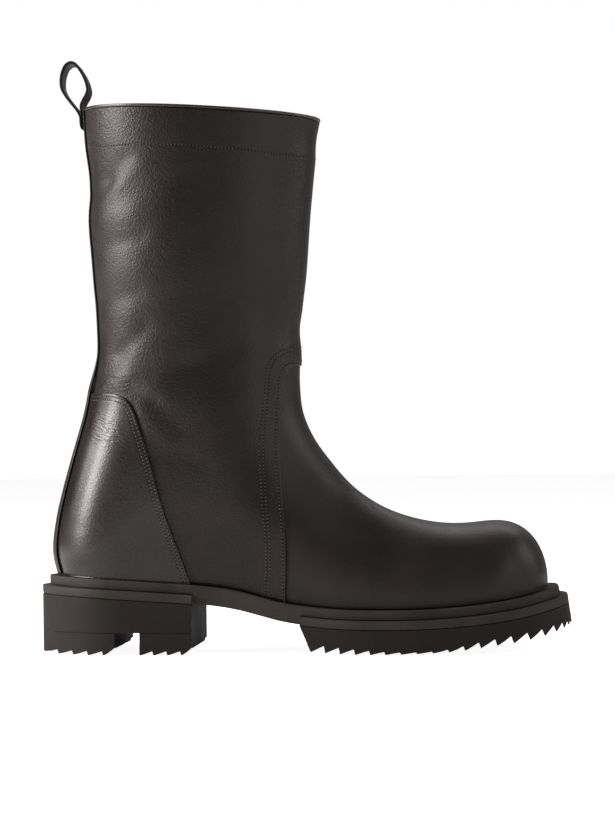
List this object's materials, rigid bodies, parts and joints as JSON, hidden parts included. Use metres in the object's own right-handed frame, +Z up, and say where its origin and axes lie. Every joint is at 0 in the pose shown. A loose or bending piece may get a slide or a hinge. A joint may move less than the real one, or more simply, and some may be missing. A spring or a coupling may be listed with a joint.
{
  "type": "creeper boot",
  "caption": "Tall pull-on leather boot with a blunt toe, back pull loop and thick stepped rubber sole with saw-tooth tread and block heel.",
  "frame": {"origin": "on the floor, under the middle of the boot's box", "axes": "+X to the toe, -Y to the outer (lateral) side of this right boot, +Z up"},
  "size_m": [0.315, 0.1212, 0.3533],
  "materials": {
    "upper_leather": "fine-grained dark brown-black calf leather, semi-gloss",
    "counter_leather": "smooth polished dark brown-black leather",
    "insole_leather": "matte lining leather",
    "midsole_rubber": "matte warm grey-brown rubber",
    "outsole_rubber": "matte black-brown rubber"
  },
  "bodies": {
    "root": {"upper": "upper_leather", "heel_counter_outer": "counter_leather", "heel_counter_inner": "counter_leather", "back_strip": "upper_leather", "pull_loop": "upper_leather", "insole": "insole_leather", "midsole": "midsole_rubber", "outsole": "outsole_rubber", "heel": "outsole_rubber"}
  },
  "joints": []
}
